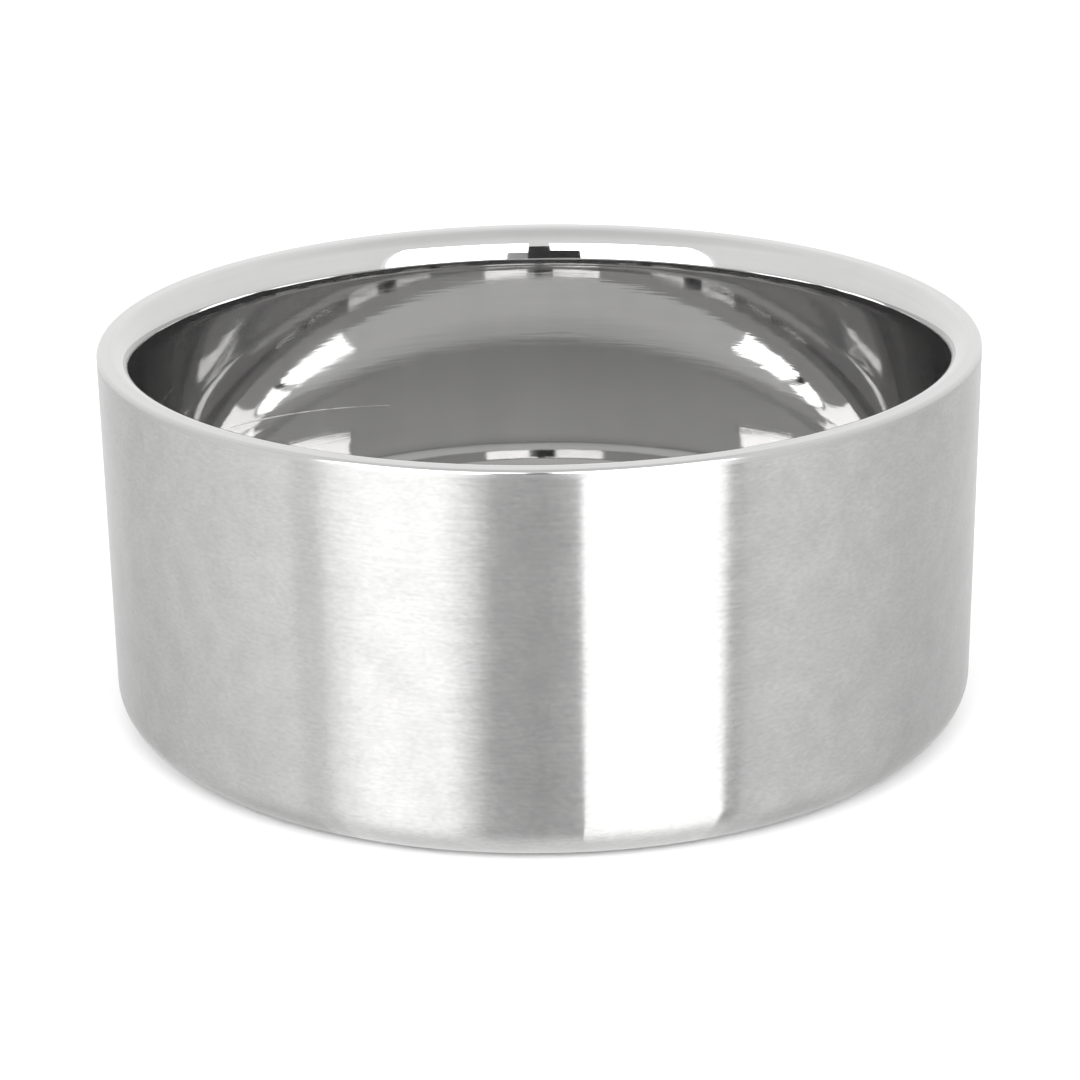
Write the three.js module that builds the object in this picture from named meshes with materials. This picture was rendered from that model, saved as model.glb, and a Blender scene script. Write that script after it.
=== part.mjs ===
// Double-walled shaving bowl in stainless steel, without a handle or a lid.
// Millimetres, +Z up. The origin is the centre of the base, on the surface that the bowl stands on.
//
// Every piece is turned about the Z axis from a section drawn as radius and height:
//   outer_shell  drawn cup with a rounded base corner, a foot ring and a raised panel with a vent hole
//   inner_liner  drawn bowl with a shallow dished floor, and a lip that turns outwards over the outer shell
//   rim_weld     bead that joins the lip to the outer shell's edge, ground to a round edge
//   vent_plug    button that closes the vent hole
//   base_cover   disc that lies in the foot ring's recess and hides the vent
//   base_weld    bead that holds the cover in its recess

import * as THREE from 'three';

// Driving dimensions of the whole bowl.
const RIM_RADIUS = 51;
const HEIGHT = 45;
const SHEET = 0.6;
const SEAM = 0.05; // clearance between neighbouring pieces
const SEGMENTS = 60; // flats round every large piece
const SMALL_SEGMENTS = 24; // flats round the vent plug

// Outer shell: the wall leans in towards the base.
const WALL_LEAN = THREE.MathUtils.degToRad(0.67);
const SHELL_EDGE_HEIGHT = 44.05;
const CORNER_WIDTH = 5.8;
const CORNER_HEIGHT = 5.2;
const FOOT_INNER_RADIUS = 40.5;
const FOOT_ROUND = 1;
const FOOT_TURN = 70; // degrees that the foot ring's inner edge turns upwards
const PANEL_HEIGHT = 1.65;
const DIMPLE_RADIUS = 7;
const DIMPLE_DEPTH = 0.8;
const VENT_RADIUS = 3;

// Inner liner: flat in the middle, dished out to the cove, with a wall that is curved a little.
const FLOOR_HEIGHT = 4.6;
const FLAT_RADIUS = 11;
const FLOOR_SLOPE = THREE.MathUtils.degToRad(13); // where the floor meets the cove
const COVE_FOOT_RADIUS = 40.8;
const COVE_WIDTH = 6;
const COVE_HEIGHT = 11;
const BORE_LEAN = THREE.MathUtils.degToRad(2.8); // of the wall where it meets the cove
const BORE_RADIUS = 46.5; // at the foot of the lip
const LIP_WIDTH = 2.9; // the lip's curve from the bore out to its flat top
const LIP_HEIGHT = 4.5;
const LIP_EDGE_RADIUS = 49.6; // where the liner's sheet ends

// Rim weld: the bowl's round outer edge.
const EDGE_ROUND = 0.5;

// Vent plug.
const PLUG_HEAD_RADIUS = 5.2;
const PLUG_HEAD_HEIGHT = 0.65;
const PLUG_STEM_HEIGHT = 0.7;
const PLUG_CHAMFER = 0.2;

// Base cover and the bead round it.
const COVER_RADIUS = 38;
const COVER_UNDERSIDE = 1;
const COVER_CHAMFER = 0.15;
const BEAD_UNDERSIDE = 1.05;
const BEAD_FROM = 42; // degrees of the recess wall's curve that the bead covers
const BEAD_TO = 76;

const STEEL = 0xc9c9c8;

function point(radius, height) {
  return new THREE.Vector2(radius, height);
}

// An elliptical arc in the section, from one angle to another in degrees.
function arc(centre, width, height, from, to, steps) {
  return Array.from({ length: steps + 1 }, (_, i) => {
    const angle = THREE.MathUtils.degToRad(THREE.MathUtils.lerp(from, to, i / steps));
    return point(centre.x + width * Math.cos(angle), centre.y + height * Math.sin(angle));
  });
}

function leftNormal(start, end) {
  const along = end.clone().sub(start).normalize();
  return point(-along.y, along.x);
}

// The same line moved sideways with mitred corners, to its left where the distance is positive.
function offsetLine(line, distance) {
  const last = line.length - 1;
  return line.map((corner, i) => {
    const before = leftNormal(line[Math.max(i - 1, 0)], line[Math.max(i, 1)]);
    const after = leftNormal(line[Math.min(i, last - 1)], line[Math.min(i + 1, last)]);
    const mitre = before.clone().add(after).multiplyScalar(distance / (1 + before.dot(after)));
    return corner.clone().add(mitre);
  });
}

// A section turned about Z. It starts and ends on the axis, or closes on itself.
function turned(name, section, material, segments = SEGMENTS) {
  const geometry = new THREE.LatheGeometry(section, segments);
  geometry.rotateX(Math.PI / 2);
  const mesh = new THREE.Mesh(geometry, material);
  mesh.name = name;
  return mesh;
}

function ring(name, section, material) {
  return turned(name, [...section, section[0].clone()], material);
}

function steel(roughness) {
  return new THREE.MeshStandardMaterial({ color: STEEL, roughness, metalness: 1 });
}

function wallRadius(height) {
  return RIM_RADIUS - (HEIGHT - height) * Math.tan(WALL_LEAN);
}

// The curve from the foot ring's inner edge up to the flat panel: its centre and radius.
function recessCurve() {
  const turn = THREE.MathUtils.degToRad(FOOT_TURN);
  const rise = FOOT_ROUND * (1 - Math.cos(turn));
  const start = point(FOOT_INNER_RADIUS - FOOT_ROUND * Math.sin(turn), rise);
  const radius = (PANEL_HEIGHT - rise) / (1 - Math.cos(turn));
  return {
    centre: point(start.x - radius * Math.sin(turn), start.y - radius * Math.cos(turn)),
    radius,
    startAngle: 90 - FOOT_TURN,
  };
}

// The outer shell's outside face, from the vent hole out to the foot ring and up to the top edge.
function shellFace() {
  const recess = recessCurve();
  const footCentre = point(FOOT_INNER_RADIUS, FOOT_ROUND);
  const cornerCentre = point(wallRadius(CORNER_HEIGHT) - CORNER_WIDTH, CORNER_HEIGHT);
  return [
    point(VENT_RADIUS, PANEL_HEIGHT + DIMPLE_DEPTH),
    point(DIMPLE_RADIUS - DIMPLE_DEPTH, PANEL_HEIGHT + DIMPLE_DEPTH),
    point(DIMPLE_RADIUS, PANEL_HEIGHT),
    ...arc(recess.centre, recess.radius, recess.radius, 90, recess.startAngle, 3),
    ...arc(footCentre, FOOT_ROUND, FOOT_ROUND, 270 - FOOT_TURN, 270, 3).slice(1),
    ...arc(cornerCentre, CORNER_WIDTH, CORNER_HEIGHT, -90, 0, 7),
    point(wallRadius(SHELL_EDGE_HEIGHT), SHELL_EDGE_HEIGHT),
  ];
}

function outerShell() {
  const outside = shellFace();
  const inside = offsetLine(outside, SHEET);
  return ring('outer_shell', [...outside, ...inside.reverse()], steel(0.35));
}

// The dished floor, from the flat middle out to the cove. Its slope grows evenly.
function floorLine(steps) {
  const run = COVE_FOOT_RADIUS - FLAT_RADIUS;
  const rise = (run * Math.tan(FLOOR_SLOPE)) / 2;
  return Array.from({ length: steps + 1 }, (_, i) => {
    const share = i / steps;
    return point(FLAT_RADIUS + run * share, FLOOR_HEIGHT + rise * share ** 2);
  });
}

// The cove, from its foot up: it touches the floor's slope and the wall's lean.
function coveArc(foot, steps) {
  const start = Math.atan2(-COVE_HEIGHT, COVE_WIDTH * Math.tan(FLOOR_SLOPE));
  const end = Math.atan2(-COVE_HEIGHT * Math.tan(BORE_LEAN), COVE_WIDTH);
  const centre = point(foot.x - COVE_WIDTH * Math.cos(start), foot.y - COVE_HEIGHT * Math.sin(start));
  const [from, to] = [start, end].map(THREE.MathUtils.radToDeg);
  return arc(centre, COVE_WIDTH, COVE_HEIGHT, from, to, steps);
}

// The wall, from the cove up to the lip. Its lean changes evenly, from that at the cove.
function boreLine(foot, top, steps) {
  const height = top.y - foot.y;
  const lean = height * Math.tan(BORE_LEAN);
  const bend = top.x - foot.x - lean;
  return Array.from({ length: steps + 1 }, (_, i) => {
    const share = i / steps;
    return point(foot.x + lean * share + bend * share ** 2, foot.y + height * share);
  });
}

// The liner's inside face, from the centre of the floor up the wall and over the lip.
function linerFace() {
  const lipCentre = point(BORE_RADIUS + LIP_WIDTH, HEIGHT - LIP_HEIGHT);
  const floor = floorLine(4);
  const cove = coveArc(floor.at(-1), 9);
  const wall = boreLine(cove.at(-1), point(BORE_RADIUS, lipCentre.y), 4);
  return [
    point(0, FLOOR_HEIGHT),
    ...floor,
    ...cove.slice(1),
    ...wall.slice(1),
    ...arc(lipCentre, LIP_WIDTH, LIP_HEIGHT, 180, 90, 6).slice(1),
    point(LIP_EDGE_RADIUS, HEIGHT),
  ];
}

function innerLiner() {
  const inside = linerFace();
  const outside = offsetLine(inside, -SHEET);
  return turned('inner_liner', [...outside, ...inside.reverse()], steel(0.08));
}

function rimWeld() {
  const shellEdge = point(wallRadius(SHELL_EDGE_HEIGHT), SHELL_EDGE_HEIGHT + SEAM);
  const roundCentre = point(RIM_RADIUS - EDGE_ROUND, HEIGHT - EDGE_ROUND);
  const innerRadius = LIP_EDGE_RADIUS + SEAM;
  const section = [
    point(shellEdge.x - SHEET, shellEdge.y),
    shellEdge,
    ...arc(roundCentre, EDGE_ROUND, EDGE_ROUND, 0, 90, 5),
    point(innerRadius, HEIGHT),
    point(innerRadius, HEIGHT - SHEET),
  ];
  return ring('rim_weld', section, steel(0.1));
}

function ventPlug() {
  const headUnderside = PANEL_HEIGHT + SEAM;
  const headTop = PANEL_HEIGHT + DIMPLE_DEPTH - SEAM;
  const stemTop = headTop + PLUG_STEM_HEIGHT;
  const stemRadius = VENT_RADIUS - 2 * SEAM;
  const section = [
    point(0, headUnderside),
    point(PLUG_HEAD_RADIUS, headUnderside),
    point(PLUG_HEAD_RADIUS, headUnderside + PLUG_HEAD_HEIGHT),
    point(stemRadius, headTop),
    point(stemRadius, stemTop - PLUG_CHAMFER),
    point(stemRadius - PLUG_CHAMFER, stemTop),
    point(0, stemTop),
  ];
  return turned('vent_plug', section, steel(0.4), SMALL_SEGMENTS);
}

function baseCover() {
  const topSide = PANEL_HEIGHT - SEAM;
  const section = [
    point(0, COVER_UNDERSIDE),
    point(COVER_RADIUS - COVER_CHAMFER, COVER_UNDERSIDE),
    point(COVER_RADIUS, COVER_UNDERSIDE + COVER_CHAMFER),
    point(COVER_RADIUS, topSide),
    point(0, topSide),
  ];
  return turned('base_cover', section, steel(0.3));
}

function baseWeld() {
  const recess = recessCurve();
  const radius = recess.radius - SEAM;
  const wall = arc(recess.centre, radius, radius, BEAD_FROM, BEAD_TO, 3);
  const innerRadius = COVER_RADIUS + SEAM;
  const section = [
    point(innerRadius, BEAD_UNDERSIDE),
    ...wall,
    point(innerRadius, wall.at(-1).y),
  ];
  return ring('base_weld', section, steel(0.45));
}

const bowl = new THREE.Group();
bowl.add(outerShell(), innerLiner(), rimWeld(), ventPlug(), baseCover(), baseWeld());

export default bowl;
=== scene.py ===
import math

import bmesh
import bpy
from mathutils import Matrix, Vector


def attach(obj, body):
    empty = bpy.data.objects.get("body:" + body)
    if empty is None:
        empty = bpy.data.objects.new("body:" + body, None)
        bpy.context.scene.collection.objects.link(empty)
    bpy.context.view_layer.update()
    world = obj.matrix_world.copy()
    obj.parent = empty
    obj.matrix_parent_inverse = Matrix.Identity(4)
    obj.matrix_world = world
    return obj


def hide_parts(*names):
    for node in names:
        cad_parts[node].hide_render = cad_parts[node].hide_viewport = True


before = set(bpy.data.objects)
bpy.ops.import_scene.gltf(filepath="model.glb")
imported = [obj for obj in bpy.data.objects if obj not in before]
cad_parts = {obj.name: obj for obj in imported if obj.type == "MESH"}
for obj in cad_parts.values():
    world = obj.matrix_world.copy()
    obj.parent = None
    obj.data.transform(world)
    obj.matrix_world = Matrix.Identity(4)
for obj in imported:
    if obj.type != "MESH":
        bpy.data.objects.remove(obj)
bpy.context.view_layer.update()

# The bowl in millimetres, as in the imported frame, with finer curves.
MM = 0.001
RIM_RADIUS = 51.0
HEIGHT = 45.0
SHEET = 0.6
HAIRLINE = 0.004  # what is left of a joint that is ground flush
SEGMENTS = 384

WALL_LEAN = math.radians(0.67)
SHELL_EDGE_HEIGHT = 44.05
CORNER_WIDTH = 5.8
CORNER_HEIGHT = 5.2
FOOT_INNER_RADIUS = 40.5
FOOT_ROUND = 1.0
FOOT_TURN = 70.0
PANEL_HEIGHT = 1.65
DIMPLE_RADIUS = 7.0
DIMPLE_DEPTH = 0.8
VENT_RADIUS = 3.0

FLOOR_HEIGHT = 4.6
FLAT_RADIUS = 11.0
FLOOR_SLOPE = math.radians(13)
COVE_FOOT_RADIUS = 40.8
COVE_WIDTH = 6.0
COVE_HEIGHT = 11.0
BORE_LEAN = math.radians(2.8)
BORE_RADIUS = 46.5
LIP_WIDTH = 2.9
LIP_HEIGHT = 4.5
LIP_EDGE_RADIUS = 49.6
EDGE_ROUND = 0.5

PLUG_HEAD_RADIUS = 5.2
PLUG_HEAD_HEIGHT = 0.65
PLUG_STEM_HEIGHT = 0.7
PLUG_CHAMFER = 0.2
SEAM = 0.05

COVER_RADIUS = 38.0
COVER_UNDERSIDE = 1.0
COVER_CHAMFER = 0.15
BEAD_UNDERSIDE = 1.05
BEAD_FROM = 42.0
BEAD_TO = 76.0
BEAD_RIPPLES = 192
BEAD_RIPPLE_DEPTH = 0.08
BEAD_RIPPLE_REACH = 0.4  # above the bead's underside
BEAD_MIDDLE = COVER_RADIUS + 0.45
BEAD_HALF_WIDTH = 0.5

# The steel's own reflectance. Each bounce inside the bowl darkens a reflection by this much.
POLISHED = (0.548, 0.546, 0.543)
BRUSHED = (0.45, 0.448, 0.445)
HAZE_METALLIC = 0.98  # fine scratches scatter the rest
MIRROR_BOUNCES = 12  # the bowl's inside mirrors itself many times over
ALL_BOUNCES = 16

# A hairline scratch on the back of the liner's wall: x and height of its ends, and its width.
SCRATCH_START = (-38.5, 25.8)
SCRATCH_END = (-19.4, 23.4)
SCRATCH_WIDTH = 0.1

# Studio. Panels stand round the bowl at these distances, in metres.
FLOOR_REACH = 4.0
FLOOR_LEVEL = -0.00002  # metres: just clear of the foot ring
LIGHT_DISTANCE = 0.9
LEFT_STRENGTH = 3.6
RIGHT_STRENGTH = 4.2
FRAME_DISTANCE = 0.94
MIDDLE_CARD_DISTANCE = 0.92
LOW_CARD_DISTANCE = 0.86
# The tent's brightness against the sine of the elevation: it rises from the horizon, then falls overhead.
TENT_SLOPES = ((0.0, 0.2, 1.08, 1.17), (0.75, 1.0, 1.17, 0.93))
# Glowing cards, which only reflections show, paint the lit table top that the wall mirrors: painted
# reflection.
GLOW_CARD_LEVEL = 0.0005  # metres above the floor
GLOW_CARD_WALL = 0.0507  # metres: the radius at which the glowing cards meet the wall
GLOW_CARD_ROWS = (-0.005, -0.0005, 0.003, 0.08, 0.3)  # metres out from the wall
MIRROR_TURN = 8.2  # degrees: what the camera's nearness adds to a mirrored direction, at the wall's side

# Camera: its distance in rim radii, the height angle at which it stands, and where it looks.
CAMERA_DISTANCE = 8.253
CAMERA_ELEVATION = math.radians(21.95)
CAMERA_PITCH = math.radians(19.448)
CAMERA_ROLL = math.radians(0.755)
LENS = 116.67
SHIFT = -0.0016


# --- Sections, as lists of (radius, height) in millimetres ---

def arc(centre, width, height, start, end, steps):
    """An elliptical arc from one angle to another, in degrees."""
    points = []
    for i in range(steps + 1):
        angle = math.radians(start + (end - start) * i / steps)
        points.append((centre[0] + width * math.cos(angle), centre[1] + height * math.sin(angle)))
    return points


def left_normal(start, end):
    dx, dy = end[0] - start[0], end[1] - start[1]
    length = math.hypot(dx, dy)
    return -dy / length, dx / length


def offset_line(line, distance):
    """The line moved sideways with mitred corners, to its left where the distance is positive."""
    last = len(line) - 1
    moved = []
    for i, corner in enumerate(line):
        before = left_normal(line[max(i - 1, 0)], line[max(i, 1)])
        after = left_normal(line[min(i, last - 1)], line[min(i + 1, last)])
        scale = distance / (1 + before[0] * after[0] + before[1] * after[1])
        moved.append((corner[0] + (before[0] + after[0]) * scale,
                      corner[1] + (before[1] + after[1]) * scale))
    return moved


def wall_radius(height):
    return RIM_RADIUS - (HEIGHT - height) * math.tan(WALL_LEAN)


def recess_curve():
    """The curve from the foot ring's inner edge up to the flat panel: centre, radius, start angle."""
    turn = math.radians(FOOT_TURN)
    rise = FOOT_ROUND * (1 - math.cos(turn))
    start = FOOT_INNER_RADIUS - FOOT_ROUND * math.sin(turn)
    radius = (PANEL_HEIGHT - rise) / (1 - math.cos(turn))
    centre = (start - radius * math.sin(turn), rise - radius * math.cos(turn))
    return centre, radius, 90 - FOOT_TURN


def shell_section():
    centre, radius, start = recess_curve()
    corner = (wall_radius(CORNER_HEIGHT) - CORNER_WIDTH, CORNER_HEIGHT)
    outside = [(VENT_RADIUS, PANEL_HEIGHT + DIMPLE_DEPTH),
               (DIMPLE_RADIUS - DIMPLE_DEPTH, PANEL_HEIGHT + DIMPLE_DEPTH),
               (DIMPLE_RADIUS, PANEL_HEIGHT)]
    outside += arc(centre, radius, radius, 90, start, 10)
    foot = (FOOT_INNER_RADIUS, FOOT_ROUND)
    outside += arc(foot, FOOT_ROUND, FOOT_ROUND, 270 - FOOT_TURN, 270, 10)[1:]
    outside += arc(corner, CORNER_WIDTH, CORNER_HEIGHT, -90, 0, 32)
    steps = 24
    for i in range(1, steps + 1):
        height = CORNER_HEIGHT + (SHELL_EDGE_HEIGHT - CORNER_HEIGHT) * i / steps
        outside.append((wall_radius(height), height))
    return outside + offset_line(outside, SHEET)[::-1]


def floor_line(steps):
    """From the flat middle out to the cove. The slope grows evenly."""
    run = COVE_FOOT_RADIUS - FLAT_RADIUS
    rise = run * math.tan(FLOOR_SLOPE) / 2
    return [(FLAT_RADIUS + run * i / steps, FLOOR_HEIGHT + rise * (i / steps) ** 2)
            for i in range(steps + 1)]


def cove_arc(foot, steps):
    """From the cove's foot up: it touches the floor's slope and the wall's lean."""
    start = math.atan2(-COVE_HEIGHT, COVE_WIDTH * math.tan(FLOOR_SLOPE))
    end = math.atan2(-COVE_HEIGHT * math.tan(BORE_LEAN), COVE_WIDTH)
    centre = (foot[0] - COVE_WIDTH * math.cos(start), foot[1] - COVE_HEIGHT * math.sin(start))
    return arc(centre, COVE_WIDTH, COVE_HEIGHT, math.degrees(start), math.degrees(end), steps)


def bore_line(foot, top, steps):
    """From the cove up to the lip. The lean changes evenly, from that at the cove."""
    height = top[1] - foot[1]
    lean = height * math.tan(BORE_LEAN)
    bend = top[0] - foot[0] - lean
    return [(foot[0] + lean * i / steps + bend * (i / steps) ** 2, foot[1] + height * i / steps)
            for i in range(steps + 1)]


def liner_face():
    """From the centre of the floor up the wall and over the lip."""
    lip_centre = (BORE_RADIUS + LIP_WIDTH, HEIGHT - LIP_HEIGHT)
    face = [(FLAT_RADIUS * i / 6, FLOOR_HEIGHT) for i in range(6)]
    face += floor_line(24)
    face += cove_arc(face[-1], 64)[1:]
    face += bore_line(face[-1], (BORE_RADIUS, lip_centre[1]), 24)[1:]
    face += arc(lip_centre, LIP_WIDTH, LIP_HEIGHT, 180, 90, 40)[1:]
    face.append((LIP_EDGE_RADIUS, HEIGHT))
    return face


def liner_section():
    inside = liner_face()
    return offset_line(inside, -SHEET) + inside[::-1]


def rim_weld_section():
    foot = SHELL_EDGE_HEIGHT + HAIRLINE
    inner = LIP_EDGE_RADIUS + HAIRLINE
    centre = (RIM_RADIUS - EDGE_ROUND, HEIGHT - EDGE_ROUND)
    return [(wall_radius(SHELL_EDGE_HEIGHT) - SHEET, foot), (wall_radius(SHELL_EDGE_HEIGHT), foot),
            *arc(centre, EDGE_ROUND, EDGE_ROUND, 1, 90, 20), (inner, HEIGHT), (inner, HEIGHT - SHEET)]


def vent_plug_section():
    underside = PANEL_HEIGHT + SEAM
    head_top = PANEL_HEIGHT + DIMPLE_DEPTH - SEAM
    stem_top = head_top + PLUG_STEM_HEIGHT
    stem = VENT_RADIUS - 2 * SEAM
    shoulder = underside + PLUG_HEAD_HEIGHT
    return [(0, underside), (PLUG_HEAD_RADIUS, underside), (PLUG_HEAD_RADIUS, shoulder), (stem, head_top),
            (stem, stem_top - PLUG_CHAMFER), (stem - PLUG_CHAMFER, stem_top), (0, stem_top)]


def base_cover_section():
    top = PANEL_HEIGHT - SEAM
    edge = (COVER_RADIUS - COVER_CHAMFER, COVER_UNDERSIDE + COVER_CHAMFER)
    rounded = arc(edge, COVER_CHAMFER, COVER_CHAMFER, -90, 0, 6)
    face = [(COVER_RADIUS * i / 12, COVER_UNDERSIDE) for i in range(12)]
    return [*face, *rounded, (COVER_RADIUS, top), (0, top)]


def base_weld_section():
    centre, radius, _ = recess_curve()
    reach = radius - SEAM
    wall = arc(centre, reach, reach, BEAD_FROM, BEAD_TO, 8)
    inner = COVER_RADIUS + SEAM
    width, rise = wall[0][0] - inner, wall[0][1] - BEAD_UNDERSIDE
    steps = 8
    face = [(inner + width * i / steps, BEAD_UNDERSIDE + rise * i / steps) for i in range(steps)]
    return [*face, *wall, (inner, wall[-1][1])]


# --- Meshes ---

def turned(name, section, material, segments=SEGMENTS, shape=None):
    """A section turned about Z. It starts and ends on the axis, or closes on itself."""
    mesh = bmesh.new()
    on_axis = section[0][0] == 0
    rings = []
    for radius, height in section:
        if radius == 0:
            rings.append([mesh.verts.new((0, 0, height * MM))])
            continue
        ring = []
        for i in range(segments):
            angle = math.tau * i / segments
            lift = shape(radius, height, angle) if shape else 0
            ring.append(mesh.verts.new((radius * MM * math.cos(angle), radius * MM * math.sin(angle),
                                        (height + lift) * MM)))
        rings.append(ring)
    pairs = list(zip(rings, rings[1:]))
    if not on_axis:
        pairs.append((rings[-1], rings[0]))
    for low, high in pairs:
        for i in range(segments):
            j = (i + 1) % segments
            corners = [low[i % len(low)], low[j % len(low)], high[j % len(high)], high[i % len(high)]]
            mesh.faces.new(list(dict.fromkeys(corners)))
    bmesh.ops.recalc_face_normals(mesh, faces=mesh.faces)
    data = bpy.data.meshes.new(name)
    mesh.to_mesh(data)
    mesh.free()
    data.shade_smooth()
    data.set_sharp_from_angle(angle=math.radians(30))
    data.materials.append(material)
    piece = bpy.data.objects.new(name, data)
    bpy.context.scene.collection.objects.link(piece)
    return piece


def bead_ripple(radius, height, angle):
    """The overlapping scallops that a weld bead sets into, on its underside only."""
    if height > BEAD_UNDERSIDE + BEAD_RIPPLE_REACH:
        return 0
    across = max(0.0, 1 - ((radius - BEAD_MIDDLE) / BEAD_HALF_WIDTH) ** 2)
    phase = (angle * BEAD_RIPPLES / math.tau + 0.5 * across) % 1
    return BEAD_RIPPLE_DEPTH * across * (phase ** 0.5 - 1)


# --- Materials ---

class Steel:
    """A steel material whose nodes are made one at a time."""

    def __init__(self, name, colour, roughness, anisotropic=0.0):
        self.colour = colour
        self.material = bpy.data.materials.new(name)
        self.material.use_nodes = True
        self.tree = self.material.node_tree
        self.shader = self.tree.nodes["Principled BSDF"]
        self.shader.inputs["Base Color"].default_value = (*colour, 1)
        self.shader.inputs["Metallic"].default_value = 1
        self.shader.inputs["Roughness"].default_value = roughness
        if anisotropic:
            self.shader.inputs["Anisotropic"].default_value = anisotropic
            self.shader.inputs["Anisotropic Rotation"].default_value = 0.25
            tangent = self.add("ShaderNodeTangent", direction_type="RADIAL", axis="Z")
            self.link(tangent, self.shader.inputs["Tangent"])

    def add(self, kind, inputs=None, **settings):
        node = self.tree.nodes.new(kind)
        for key, value in settings.items():
            setattr(node, key, value)
        for key, value in (inputs or {}).items():
            if isinstance(value, bpy.types.Node):
                self.link(value, node.inputs[key])
            elif isinstance(value, bpy.types.NodeSocket):
                self.tree.links.new(value, node.inputs[key])
            else:
                node.inputs[key].default_value = value
        return node

    def link(self, node, socket):
        self.tree.links.new(node.outputs[0], socket)

    def math(self, operation, first, second=0.0):
        return self.add("ShaderNodeMath", {0: first, 1: second}, operation=operation)

    def surface(self):
        return self.add("ShaderNodeTexCoord").outputs["Object"]

    def position(self):
        return self.add("ShaderNodeSeparateXYZ", {0: self.surface()}).outputs

    def grain(self, along, across):
        """Coordinates that stretch a texture round the bowl: scales are per metre."""
        x, y, z = self.position()
        squares = self.math("ADD", self.math("MULTIPLY", x, x), self.math("MULTIPLY", y, y))
        rise = self.math("ADD", self.math("SQRT", squares), z)
        return self.add("ShaderNodeCombineXYZ", {
            0: self.math("MULTIPLY", x, along),
            1: self.math("MULTIPLY", y, along),
            2: self.math("MULTIPLY", rise, across),
        })

    def noise(self, vector, scale=1.0, detail=2.0, roughness=0.5):
        return self.add("ShaderNodeTexNoise", {
            "Vector": vector, "Scale": scale, "Detail": detail, "Roughness": roughness,
        })

    def remap(self, value, low, high, start=0.25, end=0.75):
        return self.add("ShaderNodeMapRange", {
            "Value": value, "From Min": start, "From Max": end, "To Min": low, "To Max": high,
        })

    def set_roughness(self, value):
        self.link(value, self.shader.inputs["Roughness"])

    def set_brightness(self, value):
        """Multiplies the steel's colour by a value near 1."""
        colour = self.add("ShaderNodeVectorMath", {0: self.colour, "Scale": value}, operation="SCALE")
        self.link(colour, self.shader.inputs["Base Color"])

    def set_bump(self, height, distance):
        bump = self.add("ShaderNodeBump", {"Height": height, "Distance": distance, "Strength": 1.0})
        self.link(bump, self.shader.inputs["Normal"])


def brushed_steel(name, roughness=0.2, anisotropic=1.0):
    """A fine grain that runs round the bowl, over a faint cloudiness."""
    steel = Steel(name, BRUSHED, roughness, anisotropic)
    streaks = steel.noise(steel.grain(160, 2600), detail=2)
    speckle = steel.noise(steel.grain(1300, 3000), detail=2, roughness=0.6)
    cloud = steel.noise(steel.surface(), scale=240, detail=4)
    steel.set_roughness(steel.remap(streaks, roughness - 0.02, roughness + 0.02))
    tint = steel.math("MULTIPLY", steel.remap(streaks, 0.988, 1.012), steel.remap(cloud, 0.94, 1.06))
    steel.set_brightness(steel.math("MULTIPLY", tint, steel.remap(speckle, 0.93, 1.07)))
    steel.set_bump(streaks, 0.0000004)
    return steel.material


def polished_steel(name, roughness=0.03):
    """A mirror finish with faint turning marks, wiping smears and one hairline scratch."""
    steel = Steel(name, POLISHED, roughness)
    steel.shader.inputs["Metallic"].default_value = HAZE_METALLIC
    turning = steel.noise(steel.grain(60, 1200), detail=3, roughness=0.6)
    smear = steel.noise(steel.surface(), scale=75, detail=5, roughness=0.6)
    scratch = hairline(steel)
    steel.set_roughness(steel.math("ADD", steel.remap(smear, roughness - 0.015, roughness + 0.03),
                                   steel.math("MULTIPLY", scratch, 0.35)))
    tint = steel.math("MULTIPLY", steel.remap(turning, 0.98, 1.015), steel.remap(smear, 0.965, 1.03))
    steel.set_brightness(steel.math("ADD", tint, steel.math("MULTIPLY", scratch, 0.25)))
    steel.set_bump(turning, 0.0000025)
    return steel.material


def hairline(steel):
    """1 on a thin sloping line across the back of the wall, and 0 elsewhere."""
    x, y, z = steel.position()
    slope = (SCRATCH_END[1] - SCRATCH_START[1]) / (SCRATCH_END[0] - SCRATCH_START[0])
    level = steel.math("MULTIPLY_ADD", x, slope)
    level.inputs[2].default_value = (SCRATCH_START[1] - slope * SCRATCH_START[0]) * MM
    across = steel.math("ABSOLUTE", steel.math("SUBTRACT", z, level))
    line = steel.remap(across, 1.0, 0.0, 0.0, SCRATCH_WIDTH * MM)
    start = steel.math("GREATER_THAN", x, SCRATCH_START[0] * MM)
    end = steel.math("LESS_THAN", x, SCRATCH_END[0] * MM)
    back = steel.math("GREATER_THAN", y, 0.0)
    patchy = steel.remap(steel.noise(steel.grain(500, 100)), 0.55, 1.0)
    ends = steel.math("MULTIPLY", start, end)
    inside = steel.math("MULTIPLY", ends, steel.math("MULTIPLY", back, patchy))
    return steel.math("MULTIPLY", line, inside)


def rim_steel(name):
    """The shell's grain fades into the lip's polish over the round edge."""
    steel = Steel(name, POLISHED, 0.1, 0.9)
    height = steel.position()[2]
    low, high = (HEIGHT - EDGE_ROUND) * MM, (HEIGHT - 0.02) * MM
    steel.set_roughness(steel.remap(height, 0.26, 0.05, low, high))
    steel.set_brightness(steel.remap(height, BRUSHED[0] / POLISHED[0], 1.0, low, high))
    steel.set_bump(steel.noise(steel.grain(220, 7000), detail=3, roughness=0.7), 0.000005)
    return steel.material


def welded_steel(name):
    steel = Steel(name, BRUSHED, 0.4)
    grit = steel.noise(steel.surface(), scale=2500, detail=4)
    steel.set_roughness(steel.remap(grit, 0.32, 0.5))
    steel.set_brightness(steel.remap(grit, 0.8, 1.0))
    steel.set_bump(grit, 0.00003)
    return steel.material


# --- The bowl ---

def place(piece, node):
    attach(piece, "root")
    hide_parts(node)


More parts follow.
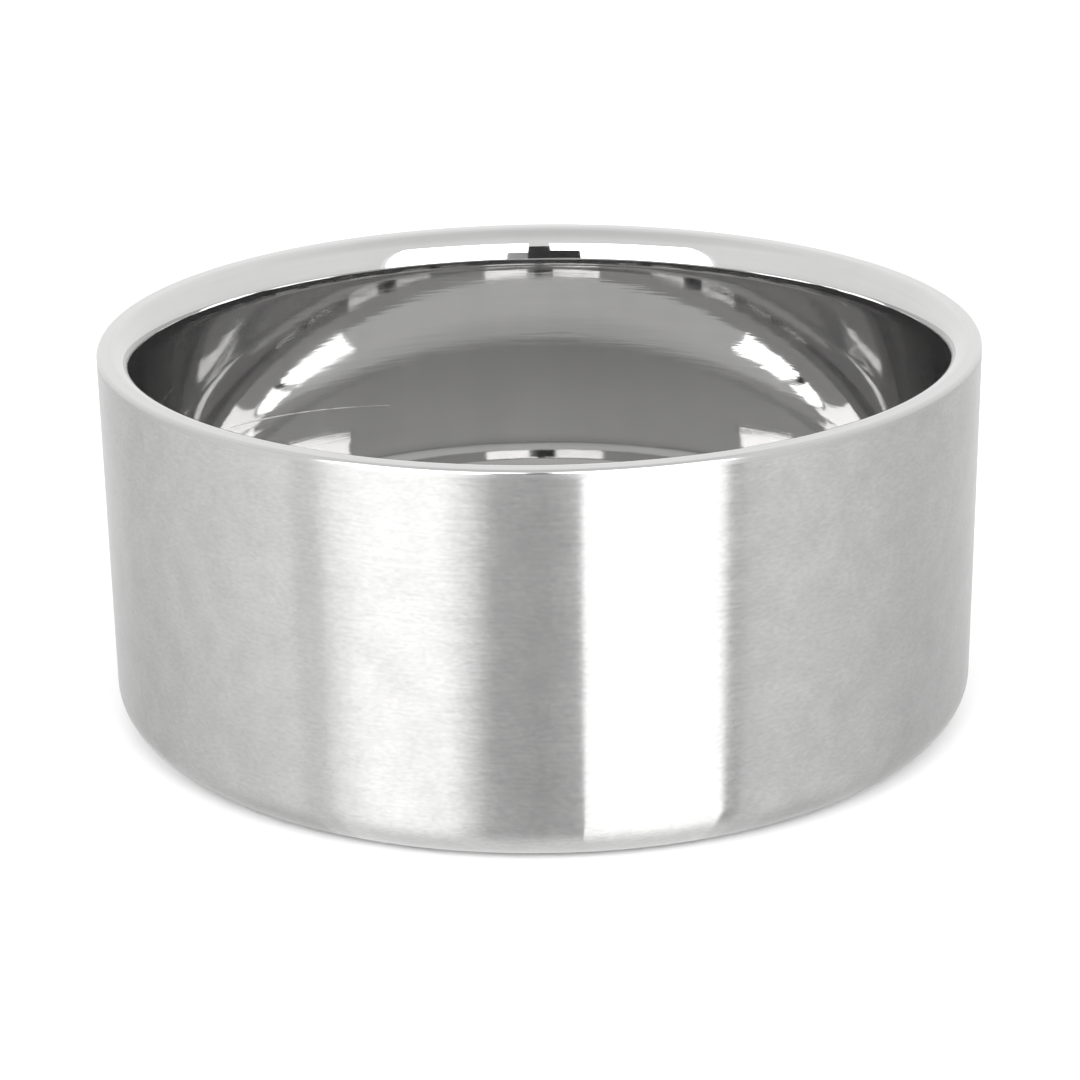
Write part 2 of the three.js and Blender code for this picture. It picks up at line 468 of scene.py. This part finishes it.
brushed = brushed_steel("brushed_steel")
polished = polished_steel("polished_steel")
turned_steel = brushed_steel("turned_steel", 0.34, 0.8)
rim = rim_steel("rim_steel")
welded = welded_steel("welded_steel")

place(turned("shell_brushed", shell_section(), brushed), "outer_shell")
place(turned("liner_polished", liner_section(), polished), "inner_liner")
place(turned("rim_ground", rim_weld_section(), rim), "rim_weld")
place(turned("plug_turned", vent_plug_section(), turned_steel, 96), "vent_plug")
place(turned("cover_turned", base_cover_section(), turned_steel), "base_cover")
place(turned("bead_rippled", base_weld_section(), welded, BEAD_RIPPLES * 6, bead_ripple),
      "base_weld")


# --- The studio ---

def flat_material(name, colour, strength=0.0):
    material = bpy.data.materials.new(name)
    material.use_nodes = True
    shader = material.node_tree.nodes["Principled BSDF"]
    shader.inputs["Base Color"].default_value = (colour, colour, colour, 1)
    shader.inputs["Roughness"].default_value = 0.8
    shader.inputs["Specular IOR Level"].default_value = 0.0
    shader.inputs["Emission Color"].default_value = (1, 1, 1, 1)
    shader.inputs["Emission Strength"].default_value = strength
    return material


def toward(degrees):
    """A direction over the floor. Azimuth 0 is the camera's side, and +90 is +X."""
    angle = math.radians(degrees)
    return Vector((math.sin(angle), -math.cos(angle), 0))


def reflection_glow_card(name, feet, levels, material, painted_shade_share=1.0, glow_beneath_corner=1.25, steps=12):
    """A glowing card, which only reflections show, that paints a part of the lit table top the wall
    mirrors:
    painted reflection, with its brightness at either side.

    It fans out from the wall along the directions in which the wall mirrors it. Beside the wall only a
    share of the brightness is left, as painted shade, and beneath the rounded corner it is the same all
    over."""
    above_floor = Vector((0, 0, GLOW_CARD_LEVEL))
    verts, brightness = [], []
    for i in range(steps + 1):
        foot = feet[0] + (feet[1] - feet[0]) * i / steps
        level = levels[0] + (levels[1] - levels[0]) * i / steps
        outward = toward(2 * foot + MIRROR_TURN * math.sin(math.radians(foot)))
        verts += [toward(foot) * GLOW_CARD_WALL + above_floor + outward * reach for reach in GLOW_CARD_ROWS]
        # Beside the wall the glow drops to a share of it: painted shade at the wall's foot.
        brightness += [glow_beneath_corner, glow_beneath_corner, level * painted_shade_share, level, level]
    rows = len(GLOW_CARD_ROWS)
    faces = [(rows * i + k, rows * i + k + 1, rows * (i + 1) + k + 1, rows * (i + 1) + k)
             for i in range(steps) for k in range(rows - 1)]
    card = staged(name, verts, faces, material)
    attribute = card.data.attributes.new("brightness", "FLOAT", "POINT")
    attribute.data.foreach_set("value", brightness)
    # The card lights nothing and casts no shadow, so it only shows as a painted reflection.
    card.visible_diffuse = False
    card.visible_shadow = False


def reflection_glow_material():
    material = flat_material("painted_reflection_cards", 0.0)
    tree = material.node_tree
    level = tree.nodes.new("ShaderNodeAttribute")
    level.attribute_name = "brightness"
    # The cards glow by the brightness on their points: painted reflection.
    tree.links.new(level.outputs["Fac"], tree.nodes["Principled BSDF"].inputs["Emission Strength"])
    return material


def panel(name, azimuths, elevations, distance, material, steps=24):
    """An upright curved panel round the bowl."""
    verts = []
    for i in range(steps + 1):
        foot = toward(azimuths[0] + (azimuths[1] - azimuths[0]) * i / steps) * distance
        for elevation in elevations:
            height = distance * math.tan(math.radians(elevation)) + HEIGHT * MM
            verts.append(foot + Vector((0, 0, height)))
    faces = [(2 * i, 2 * i + 2, 2 * i + 3, 2 * i + 1) for i in range(steps)]
    return staged(name, verts, faces, material)


def staged(name, verts, faces, material, hidden=True):
    mesh = bpy.data.meshes.new(name)
    mesh.from_pydata(verts, [], faces)
    mesh.materials.append(material)
    thing = bpy.data.objects.new(name, mesh)
    bpy.context.scene.collection.objects.link(thing)
    thing.visible_camera = not hidden
    return thing


def floor():
    size, level = FLOOR_REACH, FLOOR_LEVEL
    corners = [(-size, -size, level), (size, -size, level), (size, size, level), (-size, size, level)]
    staged("floor", corners, [(0, 1, 2, 3)], flat_material("floor_white", 0.92), hidden=False)


def lights():
    """Two broad soft lights on the camera's side, with grey frames that glow faintly as painted light,
    and dark cards in front of them.
    """
    white_left = flat_material("soft_light_left", 0.8, LEFT_STRENGTH)
    white_right = flat_material("soft_light_right", 0.8, RIGHT_STRENGTH)
    # The frames glow a little: painted light, so that they show as lit grey in reflections.
    glowing_frame_grey = flat_material("glowing_frame_grey", 0.3, 0.6)
    black = flat_material("black_card", 0.02)
    grey = flat_material("grey_card", 0.3)
    panel("light_left", (-54, -3.9), (-3, 42), LIGHT_DISTANCE, white_left)
    panel("light_right", (3.1, 47), (-3, 42), LIGHT_DISTANCE, white_right)
    panel("frame_left", (-56, -3.9), (-3, 44), FRAME_DISTANCE, glowing_frame_grey)
    panel("frame_right", (3.1, 49), (-3, 44), FRAME_DISTANCE, glowing_frame_grey)
    panel("card_middle", (-3.9, 3.1), (-3, 33), MIDDLE_CARD_DISTANCE, black)
    panel("card_left_low", (-13, -3.9), (-3, 21), LOW_CARD_DISTANCE, black)
    panel("card_right_low", (3.1, 9.5), (-3, 17), LOW_CARD_DISTANCE, grey)


def painted_reflection_cards():
    """Glowing cards that paint the wall's upright bands as painted reflections, from left to right."""
    card_glow = reflection_glow_material()
    # The last two numbers of a card are the share of its glow beside the wall, which is painted shade,
    # and its glow beneath the rounded corner.
    reflection_glow_card("glow_card_far_left", (-88, -62), (0.9, 0.93), card_glow, 0.87, 0.8)
    reflection_glow_card("glow_card_side_left", (-62, -31), (0.93, 1.46), card_glow, 0.87, 0.9)
    reflection_glow_card("glow_card_line_left", (-31, -27.3), (1.15, 1.18), card_glow, 0.97, 1.1)
    reflection_glow_card("glow_card_ramp_left", (-27.3, -22), (1.3, 1.84), card_glow)
    reflection_glow_card("glow_card_light_left", (-22, -11.8), (1.86, 1.84), card_glow)
    reflection_glow_card("glow_card_fade_left", (-11.8, -7.3), (1.8, 0.76), card_glow)
    reflection_glow_card("glow_card_between", (-7.3, 4.8), (0.73, 0.69), card_glow)
    reflection_glow_card("glow_card_light_right", (4.8, 22.3), (2.3, 2.3), card_glow)
    reflection_glow_card("glow_card_line_right", (22.3, 24.8), (0.5, 0.92), card_glow, 0.97, 1.1)
    reflection_glow_card("glow_card_near_right", (24.8, 30), (1.1, 1.26), card_glow, 0.97, 1.0)
    reflection_glow_card("glow_card_side_right", (30, 50), (1.24, 0.98), card_glow, 0.93, 0.9)
    reflection_glow_card("glow_card_far_right", (50, 88), (0.96, 0.85), card_glow, 0.87, 0.8)


def tent():
    """A soft white tent, whose brightness changes with the elevation only."""
    world = bpy.data.worlds.new("tent")
    bpy.context.scene.world = world
    world.use_nodes = True
    tree = world.node_tree
    background = tree.nodes["Background"]
    background.inputs["Color"].default_value = (1, 1, 1, 1)
    direction = tree.nodes.new("ShaderNodeSeparateXYZ")
    tree.links.new(tree.nodes.new("ShaderNodeTexCoord").outputs["Generated"], direction.inputs[0])
    lower = tree.nodes.new("ShaderNodeMath")
    lower.operation = "MINIMUM"
    for i, (start, end, low, high) in enumerate(TENT_SLOPES):
        slope = tree.nodes.new("ShaderNodeMapRange")
        for key, value in (("From Min", start), ("From Max", end), ("To Min", low), ("To Max", high)):
            slope.inputs[key].default_value = value
        tree.links.new(direction.outputs["Z"], slope.inputs["Value"])
        tree.links.new(slope.outputs[0], lower.inputs[i])
    tree.links.new(lower.outputs[0], background.inputs["Strength"])


def camera():
    distance = CAMERA_DISTANCE * RIM_RADIUS * MM
    away, up_high = math.cos(CAMERA_ELEVATION), math.sin(CAMERA_ELEVATION)
    eye = Vector((0, -distance * away, distance * up_high))
    forward = Vector((0, math.cos(CAMERA_PITCH), -math.sin(CAMERA_PITCH)))
    level = Vector((1, 0, 0))
    right = level * math.cos(CAMERA_ROLL) - level.cross(forward) * math.sin(CAMERA_ROLL)
    up = right.cross(forward)
    data = bpy.data.cameras.new("camera")
    data.lens = LENS
    data.shift_x = SHIFT
    data.clip_start = 0.01
    thing = bpy.data.objects.new("camera", data)
    bpy.context.scene.collection.objects.link(thing)
    columns = Matrix((right, up, -forward)).transposed().to_4x4()
    thing.matrix_world = Matrix.Translation(eye) @ columns
    bpy.context.scene.camera = thing


floor()
lights()
painted_reflection_cards()
tent()
camera()
bpy.context.scene.cycles.glossy_bounces = MIRROR_BOUNCES
bpy.context.scene.cycles.max_bounces = ALL_BOUNCES
bpy.context.scene.view_settings.view_transform = "Standard"
